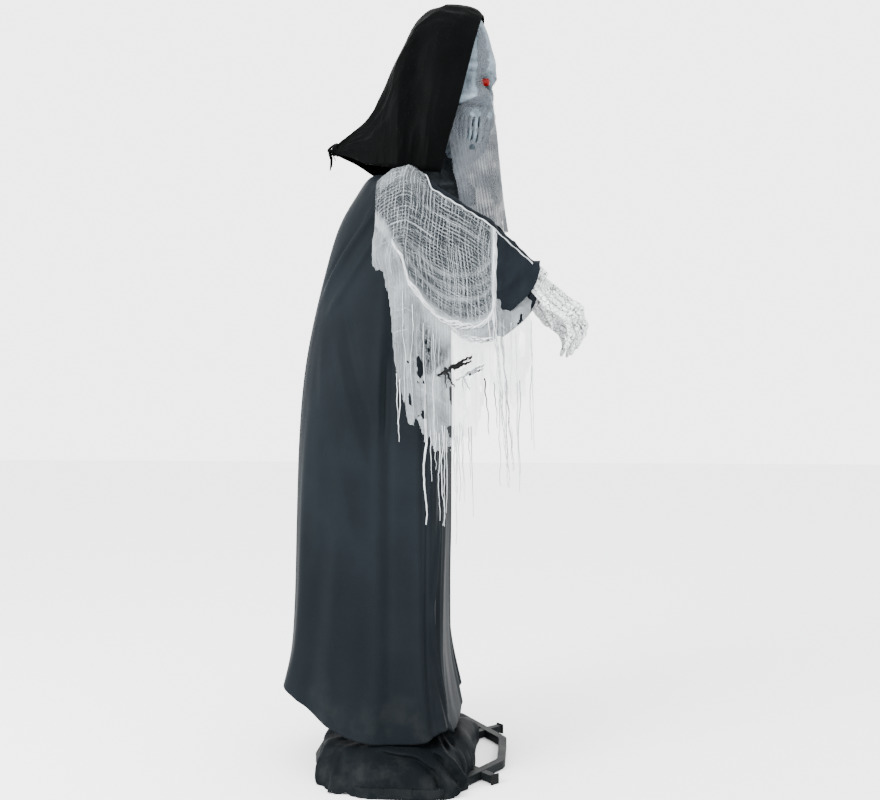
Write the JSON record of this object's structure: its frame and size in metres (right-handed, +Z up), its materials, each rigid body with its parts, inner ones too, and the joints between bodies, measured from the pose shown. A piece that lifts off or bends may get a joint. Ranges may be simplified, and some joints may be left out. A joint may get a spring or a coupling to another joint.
{
  "type": "animated ghost figure",
  "caption": "Tall hooded skull figure in a long robe with gauze shawls, turning torso and head, tilting arms and swivel hands, on a tube floor stand.",
  "frame": {"origin": "on the floor, on the axis of the pole, in the middle of the hub foot's underside", "axes": "+X to the figure's left, -Y the way the figure faces, +Z up along the pole"},
  "size_m": [0.7145, 0.8414, 2.13],
  "materials": {
    "black_steel": "black powder coat, slightly worn",
    "zinc_steel": "zinc plated",
    "black_plastic": "fine matt grain",
    "gray_plastic": "fine matt grain",
    "black_rubber": "matt",
    "robe_satin": "dark slate satin with a soft sheen",
    "hood_satin": "near black crumpled polyester",
    "white_gauze": "open cotton gauze with frayed edges",
    "painted_bone": "pale blue grey paint with dark washes",
    "red_lamp": "clear red, lit from inside",
    "dark_lens": "dark clear"
  },
  "bodies": {
    "root": {"front_floor_frame": "black_steel", "rear_floor_frame": "black_steel", "front_left_leg_cap": "black_plastic", "front_right_leg_cap": "black_plastic", "rear_left_leg_cap": "black_plastic", "rear_right_leg_cap": "black_plastic", "front_left_hub_bolt": "zinc_steel", "front_right_hub_bolt": "zinc_steel", "rear_left_hub_bolt": "zinc_steel", "rear_right_hub_bolt": "zinc_steel", "left_loop_joiner": "black_steel", "right_loop_joiner": "black_steel", "hub_foot": "black_rubber", "hub_socket": "black_steel", "lower_pole": "black_steel", "upper_pole": "black_steel", "motor_housing": "black_plastic", "motor_lid": "black_plastic", "turn_motor": "zinc_steel", "base_skirt": "robe_satin"},
    "hub_button": {"hub_button": "zinc_steel"},
    "pole_button": {"pole_button": "zinc_steel"},
    "torso": {"turn_coupling": "zinc_steel", "torso_post": "black_steel", "shoulder_bar": "black_steel", "body_hoop": "zinc_steel", "control_box": "black_plastic", "battery_1": "zinc_steel", "battery_2": "zinc_steel", "battery_3": "zinc_steel", "speaker_grille": "gray_plastic", "sensor_pod": "gray_plastic", "sensor_lens": "dark_lens", "head_motor_bracket": "black_steel", "head_motor": "black_plastic", "robe": "robe_satin", "left_shoulder_pin": "zinc_steel", "right_shoulder_pin": "zinc_steel"},
    "battery_door": {"battery_door": "black_plastic"},
    "mode_switch": {"mode_switch": "gray_plastic"},
    "head": {"neck_tube": "zinc_steel", "neck_plug": "black_plastic", "skull_mask": "painted_bone", "left_eye_lamp": "red_lamp", "right_eye_lamp": "red_lamp", "hood": "hood_satin", "hood_tie": "hood_satin", "veil": "white_gauze"},
    "left_arm": {"left_arm_tube": "black_steel", "left_sleeve": "robe_satin", "left_shawl": "white_gauze"},
    "right_arm": {"right_arm_tube": "black_steel", "right_sleeve": "robe_satin", "right_shawl": "white_gauze"},
    "left_hand": {"left_wrist_plug": "black_plastic", "left_hand": "painted_bone"},
    "right_hand": {"right_wrist_plug": "black_plastic", "right_hand": "painted_bone"}
  },
  "joints": [
    {"name": "torso_turn", "type": "hinge", "parent": "root", "child": "torso", "pos_m": [0, 0, 1.18], "axis": [0, 0, 1], "range_deg": [-25, 25]},
    {"name": "head_turn", "type": "hinge", "parent": "torso", "child": "head", "pos_m": [0, -0.042, 1.62], "axis": [0, 0, 1], "range_deg": [-20, 20]},
    {"name": "left_arm_tilt", "type": "hinge", "parent": "torso", "child": "left_arm", "pos_m": [0.2465, 0, 1.575], "axis": [1, 0, 0], "range_deg": [-20, 10]},
    {"name": "right_arm_tilt", "type": "hinge", "parent": "torso", "child": "right_arm", "pos_m": [-0.2465, 0, 1.575], "axis": [1, 0, 0], "range_deg": [-20, 10]},
    {"name": "left_wrist_turn", "type": "hinge", "parent": "left_arm", "child": "left_hand", "pos_m": [0.262, -0.318, 1.345], "axis": [0, -0.7456, -0.6664], "range_deg": [-40, 40]},
    {"name": "right_wrist_turn", "type": "hinge", "parent": "right_arm", "child": "right_hand", "pos_m": [-0.262, -0.318, 1.345], "axis": [0, -0.7456, -0.6664], "range_deg": [-40, 40]},
    {"name": "battery_door_hinge", "type": "hinge", "parent": "torso", "child": "battery_door", "pos_m": [0, 0.0613, 1.2913], "axis": [1, 0, 0], "range_deg": [-95, 0]},
    {"name": "mode_switch_slide", "type": "slide", "parent": "torso", "child": "mode_switch", "axis": [0, 0, 1], "range_m": [-0.003, 0.003]},
    {"name": "hub_button_press", "type": "slide", "parent": "root", "child": "hub_button", "axis": [1, 0, 0], "range_m": [0, 0.0028], "stiffness_N_per_m": 400},
    {"name": "pole_button_press", "type": "slide", "parent": "root", "child": "pole_button", "axis": [1, 0, 0], "range_m": [0, 0.0028], "stiffness_N_per_m": 400}
  ]
}
